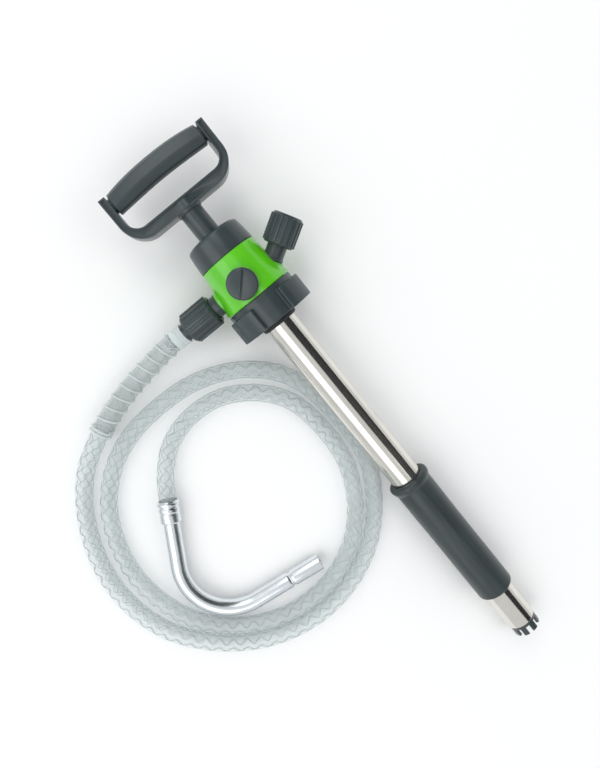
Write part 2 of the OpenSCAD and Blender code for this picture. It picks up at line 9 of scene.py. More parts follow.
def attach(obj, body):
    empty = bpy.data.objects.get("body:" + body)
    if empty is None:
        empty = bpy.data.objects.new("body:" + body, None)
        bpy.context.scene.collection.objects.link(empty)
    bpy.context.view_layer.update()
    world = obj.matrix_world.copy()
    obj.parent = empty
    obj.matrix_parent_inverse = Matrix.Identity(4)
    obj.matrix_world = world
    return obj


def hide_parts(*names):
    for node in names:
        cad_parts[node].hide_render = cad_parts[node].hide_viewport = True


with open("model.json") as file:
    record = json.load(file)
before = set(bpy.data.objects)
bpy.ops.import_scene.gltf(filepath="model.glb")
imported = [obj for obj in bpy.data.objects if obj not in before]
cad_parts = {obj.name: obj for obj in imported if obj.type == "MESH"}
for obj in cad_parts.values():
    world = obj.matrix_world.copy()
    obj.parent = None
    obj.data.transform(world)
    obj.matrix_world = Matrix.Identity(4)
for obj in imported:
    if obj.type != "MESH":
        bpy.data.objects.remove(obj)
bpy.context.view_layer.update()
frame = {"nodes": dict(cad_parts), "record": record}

MM = 0.001

# ---- the pump's own axes, as the CAD model lays them ----

TILT = math.radians(3.04638)
AXIS_HEIGHT = 36.23047
CENTRE = (107.15743, -11.17992)
HEAD_ROLL = math.radians(10)
PORT_AT = -42
VALVE_AT = -26
VALVE_LEAN = math.radians(30)
SPOUT_FROM = (66, -188, 11.4)
SPOUT_TURN = math.radians(-31)
SPOUT_DROOP = math.radians(1.4)
FERRULE_LENGTH = 22
LEG_ONE = 42.7
BEND_RADIUS = 50
BEND_ANGLE = math.radians(112)
QUARTER = math.radians(90)


def shift(x, y, z):
    return Matrix.Translation((x * MM, y * MM, z * MM))


def turn(angle, axis):
    return Matrix.Rotation(angle, 4, axis)


PUMP = shift(-CENTRE[0], -CENTRE[1], AXIS_HEIGHT) @ turn(QUARTER + TILT, "Y")
HEAD = PUMP @ turn(HEAD_ROLL, "Z")
PLUG = HEAD @ shift(0, 0, PORT_AT) @ turn(-QUARTER, "Y")
HOSE_PORT = HEAD @ shift(0, 0, PORT_AT) @ turn(QUARTER, "X")
VALVE = HEAD @ shift(0, 0, VALVE_AT) @ turn(-QUARTER - VALVE_LEAN, "X")
SPOUT = (shift(SPOUT_FROM[0] - CENTRE[0], SPOUT_FROM[1] - CENTRE[1], SPOUT_FROM[2])
         @ turn(SPOUT_TURN, "Z") @ turn(QUARTER, "Y") @ turn(-SPOUT_DROOP, "Z"))
SPOUT_END = (SPOUT @ shift(0, BEND_RADIUS, FERRULE_LENGTH + LEG_ONE) @ turn(-BEND_ANGLE, "X")
             @ shift(0, -BEND_RADIUS, 0))

# ---- camera ----

LOOK_TILT = math.radians(5.86)
LOOK_ROLL = (0.63525, 0.77229)


def set_camera():
    data = bpy.data.cameras.new("camera")
    data.sensor_width = 36
    data.lens = 28.125
    data.clip_end = 20
    camera = bpy.data.objects.new("camera", data)
    bpy.context.scene.collection.objects.link(camera)
    along = Vector((math.cos(LOOK_TILT), 0, math.sin(LOOK_TILT)))
    across = Vector((0, 1, 0))
    right = LOOK_ROLL[0] * along + LOOK_ROLL[1] * across
    up = LOOK_ROLL[0] * across - LOOK_ROLL[1] * along
    back = Vector((-math.sin(LOOK_TILT), 0, math.cos(LOOK_TILT)))
    axes = Matrix((right, up, back)).transposed().to_4x4()
    camera.matrix_world = shift(2.86 - CENTRE[0], -21.82 - CENTRE[1], 575.1) @ axes
    bpy.context.scene.camera = camera


set_camera()

# ---- modelling by hand ----


def only(obj):
    """Deselects everything and makes obj the one that operators act on."""
    if bpy.context.object and bpy.context.object.mode != "OBJECT":
        bpy.ops.object.mode_set(mode="OBJECT")
    bpy.ops.object.select_all(action="DESELECT")
    obj.select_set(True)
    bpy.context.view_layer.objects.active = obj
    return obj


def edit(obj):
    only(obj)
    bpy.ops.object.mode_set(mode="EDIT")
    bpy.ops.mesh.select_all(action="DESELECT")


def done():
    bpy.ops.object.mode_set(mode="OBJECT")


def pick(obj, wanted, mode="FACE"):
    """In edit mode: selects the faces or edges that wanted() is true for.

    wanted is given a face's centre in mm and its normal, or an edge's middle and direction in mm.
    """
    bpy.ops.mesh.select_all(action="DESELECT")
    bpy.ops.mesh.select_mode(type=mode)
    done()
    mesh = obj.data
    if mode == "FACE":
        for face in mesh.polygons:
            face.select = bool(wanted(face.center / MM, face.normal))
    else:
        points = mesh.vertices
        for edge in mesh.edges:
            a, b = points[edge.vertices[0]].co, points[edge.vertices[1]].co
            edge.select = bool(wanted((a + b) / 2 / MM, (b - a) / MM))
    bpy.ops.object.mode_set(mode="EDIT")


def named(name):
    obj = bpy.context.object
    obj.name = obj.data.name = name
    return obj


def settle(obj, axes):
    """Lays obj along its axis in the pump and puts its place into its mesh."""
    done_if_editing()
    obj.data.transform(axes)
    obj.data.update()
    return obj


def done_if_editing():
    if bpy.context.object and bpy.context.object.mode != "OBJECT":
        bpy.ops.object.mode_set(mode="OBJECT")


def smooth(obj, degrees=35):
    only(obj)
    bpy.ops.object.shade_smooth_by_angle(angle=math.radians(degrees))
    return obj


def finish_with(obj, kind, **settings):
    """Adds a modifier with these settings and applies it."""
    only(obj)
    modifier = obj.modifiers.new(kind.title(), kind)
    for key, value in settings.items():
        setattr(modifier, key, value)
    bpy.ops.object.modifier_apply(modifier=modifier.name)
    return obj


def soften(obj, width, segments=3, degrees=32, shade=40):
    """Rounds the sharp edges of a piece; width is in mm."""
    finish_with(obj, "BEVEL", width=width * MM, segments=segments, limit_method="ANGLE",
                angle_limit=math.radians(degrees), use_clamp_overlap=True, miter_outer="MITER_ARC")
    return smooth(obj, shade)


def turned(name, outline, steps=96, closed=True):
    """A lathe piece: outline is a list of (radius, height) in mm, spun about Z."""
    done_if_editing()
    bpy.ops.object.select_all(action="DESELECT")
    bpy.ops.mesh.primitive_plane_add(size=MM, location=(0, 0, 0))
    obj = named(name)
    bpy.ops.object.mode_set(mode="EDIT")
    bpy.ops.mesh.select_mode(type="VERT")
    bpy.ops.mesh.select_all(action="SELECT")
    bpy.ops.mesh.merge(type="CENTER")
    here = Vector((0, 0, 0))
    points = list(outline) + ([outline[0]] if closed else [])
    for number, (radius, height) in enumerate(points):
        there = Vector((radius, 0, height)) * MM
        if number == 0:
            bpy.ops.transform.translate(value=there - here)
        else:
            bpy.ops.mesh.extrude_region_move(TRANSFORM_OT_translate={"value": there - here})
        here = there
    bpy.ops.mesh.select_all(action="SELECT")
    bpy.ops.mesh.remove_doubles(threshold=0.00001)
    bpy.ops.mesh.select_all(action="SELECT")
    bpy.ops.mesh.spin(steps=steps, angle=math.radians(360), center=(0, 0, 0), axis=(0, 0, 1))
    bpy.ops.mesh.select_all(action="SELECT")
    bpy.ops.mesh.remove_doubles(threshold=0.00001)
    bpy.ops.mesh.select_all(action="SELECT")
    bpy.ops.mesh.normals_make_consistent(inside=False)
    done()
    return obj


def rounded(corners, radius, steps=4):
    """An outline with its corners rounded: each corner is (r, z) or (r, z, its own radius)."""
    out = []
    count = len(corners)
    for i, corner in enumerate(corners):
        here = Vector(corner[:2])
        size = corner[2] if len(corner) > 2 else radius
        before = Vector(corners[i - 1][:2]) - here
        after = Vector(corners[(i + 1) % count][:2]) - here
        size = min(size, before.length * 0.45, after.length * 0.45)
        if size < 0.02:
            out.append(tuple(here))
            continue
        start, end = here + before.normalized() * size, here + after.normalized() * size
        for k in range(steps + 1):
            f = k / steps
            point = (1 - f) ** 2 * start + 2 * f * (1 - f) * here + f * f * end
            out.append(tuple(point))
    return out


def block(name, low, high):
    """A cube primitive at its size and place, from corner low to corner high in mm."""
    done_if_editing()
    bpy.ops.object.select_all(action="DESELECT")
    bpy.ops.mesh.primitive_cube_add(size=1)
    obj = named(name)
    low, high = Vector(low), Vector(high)
    size, middle = (high - low) * MM, (high + low) / 2 * MM
    obj.data.transform(Matrix.Translation(middle) @ Matrix.Diagonal((*size, 1)))
    return obj


def round_edges(obj, wanted, radius, segments=8):
    """Bevels the edges for which wanted(middle, direction) is true; radius in mm."""
    edit(obj)
    pick(obj, wanted, "EDGE")
    bpy.ops.mesh.bevel(offset=radius * MM, segments=segments, affect="EDGES")
    done()
    return obj


def cut(obj, tool):
    """Takes tool away from obj and deletes it."""
    finish_with(obj, "BOOLEAN", operation="DIFFERENCE", solver="EXACT", object=tool)
    bpy.data.objects.remove(tool)
    return obj


def add(obj, other):
    """Melts other into obj."""
    finish_with(obj, "BOOLEAN", operation="UNION", solver="EXACT", object=other)
    bpy.data.objects.remove(other)
    return obj


def drawn(name, points, radius, sides=12, radii=None, caps=True, cyclic=False):
    """A round bar or tube drawn along points given in metres; radius in mm."""
    curve = bpy.data.curves.new(name, "CURVE")
    curve.dimensions = "3D"
    curve.twist_mode = "MINIMUM"
    curve.bevel_depth = radius * MM
    curve.bevel_resolution = max(0, sides // 4 - 1)
    curve.use_fill_caps = caps
    spline = curve.splines.new("POLY")
    spline.points.add(len(points) - 1)
    for k, point in enumerate(points):
        spline.points[k].co = (*point, 1)
        spline.points[k].radius = radii[k] if radii else 1
    spline.use_cyclic_u = cyclic
    obj = bpy.data.objects.new(name, curve)
    bpy.context.scene.collection.objects.link(obj)
    only(obj)
    bpy.ops.object.convert(target="MESH")
    obj = bpy.context.object
    obj.name = obj.data.name = name
    return obj


# ---- hose: its route, wall, thread and guard ----

HOSE_Z = 8.6
HOSE_RADIUS = 8.5
BORE_RADIUS = 6.2
INTO_SPOUT = 21.5
TAIL_POINT = (-42.619, -72.435, 25.708)
ROUTE = [
    TAIL_POINT, (-42.841, -96.071, 21.547),
    (-40, -122, 17.6), (-36, -148, 15.4), (-29, -175, 13.6), (-19, -201, 12.4),
    (-3, -229, 9.6), (23, -253, HOSE_Z), (56, -271, HOSE_Z), (92, -281, HOSE_Z),
    (131, -281, HOSE_Z), (168, -270, HOSE_Z), (201, -247, HOSE_Z), (227, -216, HOSE_Z),
    (243, -180, HOSE_Z), (248, -140, HOSE_Z), (241, -101, HOSE_Z), (223, -66, HOSE_Z),
    (196, -39, HOSE_Z), (164, -20, HOSE_Z), (130, -13, HOSE_Z), (94, -14, HOSE_Z),
    (61, -20, HOSE_Z), (32, -37, HOSE_Z), (9, -66, HOSE_Z), (-4, -101, HOSE_Z),
    (-7, -138, HOSE_Z), (-3, -175, HOSE_Z), (11, -208, HOSE_Z), (36, -235, HOSE_Z),
    (68, -252, HOSE_Z), (104, -260, HOSE_Z), (141, -257, HOSE_Z), (175, -244, HOSE_Z),
    (204, -219, HOSE_Z), (223, -187, HOSE_Z), (231, -151, HOSE_Z), (227, -113, HOSE_Z),
    (210, -78, HOSE_Z), (181, -51, HOSE_Z), (145, -35, HOSE_Z), (104, -32, HOSE_Z),
    (68, -39, HOSE_Z), (41, -59, HOSE_Z), (23, -88, HOSE_Z), (19, -121, HOSE_Z),
    (27, -151, 9), (45, -173, 10.4), SPOUT_FROM,
    (SPOUT_FROM[0] + math.cos(SPOUT_TURN) * INTO_SPOUT,
     SPOUT_FROM[1] + math.sin(SPOUT_TURN) * INTO_SPOUT, SPOUT_FROM[2]),
]


def smooth_route(knots, steps):
    """Points along one smooth curve through the knots, in metres in the pump's frame."""
    def knot(i):
        if i < 0:
            return 2 * knots[0] - knots[1]
        if i >= len(knots):
            return 2 * knots[-1] - knots[-2]
        return knots[i]
    points = []
    for i in range(len(knots) - 1):
        a, b, c, d = knot(i - 1), knot(i), knot(i + 1), knot(i + 2)
        for k in range(steps):
            f = k / steps
            points.append(0.5 * (2 * b + (c - a) * f + (2 * a - 5 * b + 4 * c - d) * f ** 2
                                 + (3 * b - a - 3 * c + d) * f ** 3))
    return points + [knots[-1].copy()]


hose_line = smooth_route([Vector((x - CENTRE[0], y - CENTRE[1], z)) * MM for x, y, z in ROUTE], 12)


class Line:
    """A route with a frame that doesn't twist, and the distance along it."""

    def __init__(self, points):
        self.points = points
        self.at = [0.0]
        for a, b in zip(points, points[1:]):
            self.at.append(self.at[-1] + (b - a).length)
        self.sides = []
        side = None
        for i in range(len(points)):
            ahead = (points[min(i + 1, len(points) - 1)] - points[max(i - 1, 0)]).normalized()
            if side is None:
                side = ahead.cross(Vector((0, 0, 1))).normalized()
            side = (side - side.dot(ahead) * ahead).normalized()
            self.sides.append((side, ahead.cross(side)))

    def where(self, s, radius, angle):
        """The point at distance s, radius (in mm) from the middle, at this angle round it."""
        s = min(max(s, 0.0), self.at[-1] - 1e-9)
        low, high = 0, len(self.at) - 1
        while high - low > 1:
            mid = (low + high) // 2
            if self.at[mid] <= s:
                low = mid
            else:
                high = mid
        f = (s - self.at[low]) / (self.at[high] - self.at[low])
        middle = self.points[low].lerp(self.points[high], f)
        side = self.sides[low][0].lerp(self.sides[high][0], f)
        up = self.sides[low][1].lerp(self.sides[high][1], f)
        return middle + (math.cos(angle) * side + math.sin(angle) * up) * radius * MM


hose_path = Line(hose_line)
hose_reach = hose_path.at[-1]
GUARD_REACH = 0.1246


def tube_wall(name, line, first, last, outer, wall, rings, sides):
    """A hollow tube along part of a line, with a map of its skin by length and angle.

    first and last are distances along the line in metres. outer(share of the length, angle)
    and wall are in mm.
    """
    bpy.ops.object.select_all(action="DESELECT")
    bpy.ops.mesh.primitive_cylinder_add(vertices=sides, radius=1, depth=1, end_fill_type="NOTHING")
    obj = named(name)
    edit(obj)
    pick(obj, lambda middle, along: abs(along.z) > 500, "EDGE")
    bpy.ops.mesh.subdivide_edgering(number_cuts=rings - 1)
    done()
    map_layer = obj.data.uv_layers.active
    for loop in obj.data.loops:
        place = obj.data.vertices[loop.vertex_index].co
        round_it = math.atan2(place.y, place.x) / math.tau
        map_layer.data[loop.index].uv = (first + (place.z + 0.5) * (last - first), round_it)
    for face in obj.data.polygons:
        values = [map_layer.data[k].uv[1] for k in face.loop_indices]
        if max(values) - min(values) > 0.5:
            for k in face.loop_indices:
                if map_layer.data[k].uv[1] < 0:
                    map_layer.data[k].uv[1] += 1
    for point in obj.data.vertices:
        angle = math.atan2(point.co.y, point.co.x)
        share = point.co.z + 0.5
        point.co = line.where(first + share * (last - first), outer(share, angle), angle)
    edit(obj)
    bpy.ops.mesh.select_all(action="SELECT")
    bpy.ops.mesh.normals_make_consistent(inside=False)
    done()
    finish_with(obj, "SOLIDIFY", thickness=wall * MM, offset=-1)
    return smooth(obj, 50)


hose_wall = tube_wall("hose_wall", hose_path, 0, hose_reach, lambda f, a: HOSE_RADIUS,
                      HOSE_RADIUS - BORE_RADIUS, 560, 28)

THREAD_WALES = 6
THREAD_PITCH = 0.0134
THREAD_RADIUS = 7.6
THREAD_LAG = 0.12
THREAD_SWING = 0.74
STRAND_RADIUS = 0.30
STEPS_A_PITCH = 10


def knit_thread():
    """The knitted thread in the wall: zigzag lines side by side round the hose."""
    strands = []
    for wale in range(THREAD_WALES):
        points = []
        steps = int(hose_reach / THREAD_PITCH * STEPS_A_PITCH)
        for k in range(steps + 1):
            s = hose_reach * k / steps
            f = s / THREAD_PITCH + THREAD_LAG * wale
            zigzag = 4 * abs(f % 1 - 0.5) - 1
            wave = zigzag * (1.35 - 0.35 * zigzag * zigzag)  # its turns are a little rounded
            angle = math.tau * (wale + 0.5 * THREAD_SWING * wave) / THREAD_WALES
            points.append(hose_path.where(s, THREAD_RADIUS, angle))
        strands.append(drawn(f"strand_{wale}", points, STRAND_RADIUS, sides=4, caps=False))
    only(strands[0])
    for strand in strands:
        strand.select_set(True)
    bpy.ops.object.join()
    obj = bpy.context.object
    obj.name = obj.data.name = "hose_thread"
    return smooth(obj, 80)


hose_thread = knit_thread()

GUARD_START = 0.0135
GUARD_RADIUS, GUARD_WALL = 9.5, 0.6
WIRE_START, WIRE_SHORT_OF_END = 0.016, 0.005
WIRE_TURNS, WIRE_RING, WIRE_RADIUS = 8.6, 9.9, 1.0
CUFF_START, CUFF_END = 0.0004, 0.0118
CUFF_SWELL, CUFF_WALL = 0.5, 0.8
END_RING, END_RING_WIRE, END_RING_STEP = 10.2, 1.1, 0.0035

guard_sleeve = tube_wall("guard_sleeve", hose_path, GUARD_START, GUARD_REACH,
                         lambda f, a: GUARD_RADIUS, GUARD_WALL, 120, 40)


def wound_wire(name, line, first, last, turns, ring, thick):
    """A round wire wound along the line."""
    steps = int(turns * 36)
    points = [line.where(first + (last - first) * k / steps, ring, math.tau * turns * k / steps)
              for k in range(steps + 1)]
    return drawn(name, points, thick, sides=10)


guard_wire = smooth(wound_wire("guard_wire", hose_path, WIRE_START, GUARD_REACH - WIRE_SHORT_OF_END,
                               WIRE_TURNS, WIRE_RING, WIRE_RADIUS), 80)
hose_cuff = tube_wall("hose_cuff", hose_path, CUFF_START, CUFF_END,
                      lambda f, a: GUARD_RADIUS + CUFF_SWELL * math.cos(math.tau * 2 * f) ** 4,
                      CUFF_WALL, 24, 48)


def round_ring(name, line, at, ring, thick):
    """A wire ring round the line at distance at."""
    points = [line.where(at, ring, math.tau * k / 40) for k in range(40)]
    return drawn(name, points, thick, sides=12, cyclic=True)


guard_rings = [
    round_ring("guard_ring_a", hose_path, GUARD_REACH - END_RING_STEP, END_RING, END_RING_WIRE),
    round_ring("guard_ring_b", hose_path, GUARD_REACH, END_RING, END_RING_WIRE),
]

# ---- spout ----

SPOUT_RADIUS = 8.0


def spout_point(axes, x, y, z):
    return axes @ Vector((x * MM, y * MM, z * MM))


def bent_spout():
    """The hooked metal tube, from the ferrule to its narrowed end."""
    points, radii = [], []

    def put(axes, z, radius):
        points.append(spout_point(axes, 0, 0, z))
        radii.append(radius / SPOUT_RADIUS)

    for z, radius in ((13.5, 6.2), (16, SPOUT_RADIUS), (22, SPOUT_RADIUS), (40, SPOUT_RADIUS)):
        put(SPOUT, z, radius)
    bend_steps = 40
    for k in range(bend_steps + 1):
        angle = BEND_ANGLE * k / bend_steps
        points.append(spout_point(SPOUT, 0, BEND_RADIUS * (1 - math.cos(angle)),
                                  FERRULE_LENGTH + LEG_ONE + BEND_RADIUS * math.sin(angle)))
        radii.append(1)
    for z in (12, 24, 35.2):
        put(SPOUT_END, z, SPOUT_RADIUS)
    for z, radius in ((36.6, 7.85), (37.5, 7.4), (38.1, 6.6), (38.6, 6.1), (42, 6.1)):
        put(SPOUT_END, z, radius)
    return drawn("spout_bend", points, SPOUT_RADIUS, sides=48, radii=radii)


spout_bend = smooth(bent_spout(), 50)

nozzle = settle(turned("spout_tip", rounded([
    (6.9, 39.2), (7.1, 39.4), (8.0, 41.4, 1.4), (8.0, 70.9, 0.4), (6.95, 70.9, 0.4), (6.7, 68, 0.5),
    (6.7, 44, 0.5), (5.6, 43), (5.6, 39.2)], 0.4), 72), SPOUT_END)
smooth(nozzle, 50)

neck_ring = settle(turned("spout_neck", rounded([
    (5.4, 37.6), (6.5, 37.6, 0.3), (6.9, 38.8, 0.4), (6.3, 39.9, 0.4), (6.6, 41.0, 0.3),
    (5.4, 41.0)], 0.3), 64), SPOUT_END)
smooth(neck_ring, 50)

ferrule = settle(turned("spout_clamp", rounded([
    (8.7, 0.2), (9.5, 0.2, 0.5), (9.8, 1.3, 0.4), (10.9, 2.0, 0.8), (10.9, 4.2, 0.8),
    (9.7, 5.0, 0.4), (9.6, 6.2, 0.3), (10.3, 7.4, 0.7), (10.3, 10.6, 0.7), (9.6, 11.8, 0.4),
    (9.9, 13.0, 0.5), (10.1, 20.6, 1.2), (8.9, 22.0, 0.6), (8.05, 22.0), (8.05, 20.6),
    (8.7, 19.9)], 0.5), 72), SPOUT)
smooth(ferrule, 50)

# ---- finishes ----


class Signal:
    """One value in a finish, so that its shader maths reads as plain sums."""

    def __init__(self, finish, socket):
        self.finish, self.socket = finish, socket

    def _math(self, operation, first, second):
        return self.finish.node("ShaderNodeMath", {"operation": operation}, {0: first, 1: second})

    def __add__(self, other):
        return self._math("ADD", self, other)

    def __radd__(self, other):
        return self._math("ADD", other, self)

    def __sub__(self, other):
        return self._math("SUBTRACT", self, other)

    def __rsub__(self, other):
        return self._math("SUBTRACT", other, self)

    def __mul__(self, other):
        return self._math("MULTIPLY", self, other)

    def __rmul__(self, other):
        return self._math("MULTIPLY", other, self)

    def __pow__(self, other):
        return self._math("POWER", self, other)

    def clamped(self, low, high):
        """This signal's rise from low to high as 0 to 1, with soft ends."""
        return self.finish.node(
            "ShaderNodeMapRange", {"clamp": True, "interpolation_type": "SMOOTHSTEP"},
            {0: self, 1: low, 2: high, 3: 0.0, 4: 1.0})


class Finish:
    """A material made of nodes round one Principled shader."""

    def __init__(self, name, **sockets):
        self.material = bpy.data.materials.new(name)
        self.material.use_nodes = True
        self.tree = self.material.node_tree
        self.tree.nodes.clear()
        self.shader = self.tree.nodes.new("ShaderNodeBsdfPrincipled")
        output = self.tree.nodes.new("ShaderNodeOutputMaterial")
        self.tree.links.new(self.shader.outputs[0], output.inputs["Surface"])
        for key, value in sockets.items():
            self.shader.inputs[key.replace("_", " ")].default_value = value

    def node(self, kind, settings=None, inputs=None, out=0):
        made = self.tree.nodes.new(kind)
        for key, value in (settings or {}).items():
            setattr(made, key, value)
        for key, value in (inputs or {}).items():
            if isinstance(value, Signal):
                self.tree.links.new(value.socket, made.inputs[key])
            else:
                made.inputs[key].default_value = value
        return Signal(self, made.outputs[out])

    def feed(self, name, signal):
        self.tree.links.new(signal.socket, self.shader.inputs[name])

    def place(self):
        return self.node("ShaderNodeTexCoord", out="Object")

    def mapped(self, scale, turn_by):
        return self.node("ShaderNodeMapping", {},
                         {"Vector": self.place(), "Scale": scale, "Rotation": turn_by})

    def noise(self, scale, detail, rough, where=None):
        return self.node("ShaderNodeTexNoise", {}, {"Vector": where or self.place(), "Scale": scale,
                                                   "Detail": detail, "Roughness": rough})

    def blend(self, share, first, second):
        return self.node("ShaderNodeMix", {"data_type": "RGBA"},
                         {0: share, 6: first, 7: second}, out=2)

    def bump(self, height, strength, depth):
        self.feed("Normal", self.node("ShaderNodeBump", {}, {"Height": height, "Strength": strength,
                                                            "Distance": depth * MM}))


def colour(r, g, b, share=1.0):
    return (r * share, g * share, b * share, 1)


def moulded_plastic(name, tone, gloss, grain=0.12):
    """Satin moulded plastic: a fine spark grain, faint flow marks and edges that turn paler where
    the surface is sharply convex.
    """
    made = Finish(name, Specular_IOR_Level=0.5)
    flow = made.noise(26, 4, 0.6)
    fine = made.noise(2600, 2, 0.5)
    # sharp convex edges (high pointiness) are blended towards twice the tone, so they come out
    # paler
    convex_edge_share = made.node("ShaderNodeNewGeometry", out="Pointiness").clamped(0.52, 0.6)
    base = made.blend(flow.clamped(0.3, 0.7), colour(*tone, 0.88), colour(*tone, 1.12))
    made.feed("Base Color", made.blend(convex_edge_share * 0.35, base, colour(*tone, 2.0)))
    made.feed("Roughness", gloss + 0.14 * (flow - 0.5) + 0.10 * fine)
    made.bump(fine, grain, 0.05)
    return made.material


def green_plastic():
    """Glossy moulded plastic with a slight waviness in its gloss."""
    made = Finish("green_gloss", Specular_IOR_Level=0.55, Coat_Roughness=0.06, Coat_Weight=0.6)
    flow = made.noise(30, 3, 0.5)
    ripple = made.noise(140, 2, 0.5)
    made.feed("Base Color", made.blend(flow.clamped(0.3, 0.7), colour(0.090, 0.52, 0.003),
                                       colour(0.115, 0.60, 0.005)))
    made.feed("Roughness", 0.24 + 0.08 * flow)
    made.bump(ripple, 0.08, 0.12)
    return made.material


def soft_rubber(name, tone, gloss):
    """Smooth rubber with faint drag marks and a dusty bloom."""
    made = Finish(name, Specular_IOR_Level=0.45)
    drag = made.noise(1, 4, 0.6, made.mapped((14, 240, 240), (0, TILT, 0)))
    dust = made.noise(900, 3, 0.6)
    made.feed("Base Color", made.blend(drag.clamped(0.35, 0.7), colour(*tone, 0.86),
                                       colour(*tone, 1.18)))
    made.feed("Roughness", gloss + 0.12 * (drag - 0.5) + 0.08 * dust)
    made.bump(dust, 0.10, 0.04)
    return made.material


def polished_steel():
    """Drawn and polished steel: fine lines along the tube and faint smears."""
    made = Finish("polished_tube", Metallic=1.0)
    lines = made.noise(1, 3, 0.6, made.mapped((10, 1500, 1500), (0, TILT, 0)))
    smear = made.noise(22, 4, 0.6)
    made.feed("Base Color", made.blend(smear.clamped(0.3, 0.75), colour(0.80, 0.77, 0.71),
                                       colour(0.70, 0.68, 0.63)))
    made.feed("Roughness", 0.09 + 0.07 * lines + 0.06 * smear.clamped(0.5, 0.8))
    made.bump(lines, 0.05, 0.02)
    return made.material


def bright_plate(name, tone, gloss):
    """Plated metal with a faint polish haze."""
    made = Finish(name, Metallic=1.0)
    haze = made.noise(60, 4, 0.6)
    fine = made.noise(900, 2, 0.5)
    made.feed("Base Color", made.blend(haze.clamped(0.3, 0.7), colour(*tone, 0.94),
                                       colour(*tone, 1.0)))
    made.feed("Roughness", gloss + 0.05 * haze + 0.03 * fine)
    made.bump(haze, 0.04, 0.05)
    return made.material


def clear_wall(name, tone, body, gloss):
    """Clear flexible plastic: mostly see-through, with cloudy streaks along it."""
    made = Finish(name, Specular_IOR_Level=0.6, IOR=1.45)
    cloud = made.noise(45, 4, 0.6)
    made.feed("Base Color", made.blend(cloud.clamped(0.3, 0.7), colour(*tone, 0.96),
                                       colour(*tone, 1.04)))
    made.feed("Roughness", gloss + 0.10 * cloud)
    edge = made.node("ShaderNodeLayerWeight", {}, {"Blend": 0.5}, out="Facing")
    made.feed("Alpha", body + 0.16 * (cloud - 0.5) + 0.30 * edge ** 3)
    made.bump(cloud, 0.10, 0.25)
    return made.material


def thread_yarn():
    made = Finish("grey_yarn", Specular_IOR_Level=0.3)
    twist = made.noise(1400, 2, 0.5)
    made.feed("Base Color", made.blend(twist, colour(0.20, 0.25, 0.26), colour(0.44, 0.51, 0.52)))
    made.feed("Roughness", 0.6 + 0.2 * twist)
    made.bump(twist, 0.3, 0.1)
    return made.material


FINISHES = {
    "green_plastic": green_plastic(),
    "dark_plastic": moulded_plastic("slate_plastic", (0.039, 0.054, 0.058), 0.19),
    "black_rubber": soft_rubber("seal_rubber", (0.016, 0.017, 0.018), 0.5),
    "sleeve_rubber": soft_rubber("sleeve_rubber", (0.032, 0.045, 0.047), 0.30),
    "polished_steel": polished_steel(),
    "chrome": bright_plate("spout_plate", (0.82, 0.86, 0.89), 0.20),
    "plain_steel": bright_plate("turned_steel", (0.62, 0.61, 0.6), 0.22),
    "white_plastic": moulded_plastic("natural_plastic", (0.78, 0.75, 0.68), 0.4, 0.06),
    "clear_hose": clear_wall("hose_vinyl", (0.84, 0.92, 0.92), 0.17, 0.12),
}
YARN = thread_yarn()
WIRE_FINISH = clear_wall("wire_vinyl", (0.86, 0.93, 0.92), 0.46, 0.08)
GUARD_FINISH = clear_wall("guard_vinyl", (0.86, 0.94, 0.92), 0.13, 0.08)


def finish_piece(obj, body, slot_name, nodes=(), material=None):
    """Gives a new piece its finish and its body, and hides the CAD nodes it stands for."""
    obj.data.materials.clear()
    obj.data.materials.append(material or FINISHES[slot_name])
    for face in obj.data.polygons:
        face.material_index = 0
    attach(obj, body)
    if nodes:
        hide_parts(*nodes)
    return obj


# ---- head: housing, cap, ring, ports ----

HOUSING_TOP, HOUSING_LOW = -69.1, -26.7
HOUSING_TOP_R, HOUSING_LOW_R = 27.9, 33.8


def angle_of(point):
    return math.degrees(math.atan2(point.y, point.x)) % 360


def push_out(obj, wanted, radius):
    """Extrudes the picked wall faces and moves them out to this radius (mm) from the Z axis."""
    edit(obj)
    pick(obj, wanted)
    bpy.ops.mesh.extrude_region()
    done()
    for point in obj.data.vertices:
        if point.select:
            flat = Vector((point.co.x, point.co.y)).normalized() * radius * MM
            point.co.x, point.co.y = flat
    return obj


def boss(name, radius, low, high, flare, axes):
    """A round boss whose foot flares into the housing."""
    outline = [(0, low), (radius + flare, low)]
    for angle in (0, 18, 36, 54, 72, 90):
        a = math.radians(angle)
        outline.append((radius + flare * (1 - math.sin(a)),
                        low + 1 + flare * 1.3 * (1 - math.cos(a))))
    outline += [(radius, high - 0.7), (radius - 0.2, high - 0.2), (radius - 0.7, high), (0, high)]
    return settle(turned(name, outline, 64, closed=False), axes)


def green_housing():
    outer = []
    for k in range(15):
        f = k / 14
        outer.append((HOUSING_TOP_R + (HOUSING_LOW_R - HOUSING_TOP_R) * f ** 1.4,
                      HOUSING_TOP + (HOUSING_LOW - HOUSING_TOP) * f))
    outer[0] = (outer[0][0] - 0.5, HOUSING_TOP)
    outer.insert(1, (outer[1][0] - 0.2, HOUSING_TOP + 0.5))
    outer[-1] = (HOUSING_LOW_R - 0.1, HOUSING_LOW - 0.6)
    outline = outer + [
        (HOUSING_LOW_R - 0.7, HOUSING_LOW), (28.8, HOUSING_LOW), (28.8, -11.5), (25.4, -11.5),
        (25.4, -27), (29.4, -32), (24.0, -65.1), (12.4, -65.1), (12.4, HOUSING_TOP)]
    shell = turned("green_housing", outline, 128)
    settle(shell, HEAD)
    for tool in (boss("boss_plug", 14.2, 21, 32.7, 1.6, PLUG),
                 boss("boss_hose", 10.9, 21, 31.5, 0.6, HOSE_PORT),
                 boss("boss_valve", 10.6, 22, 33.0, 3.8, VALVE)):
        add(shell, tool)
    return smooth(shell, 32)


finish_piece(green_housing(), "pump", "green_plastic", ["pump_body"])

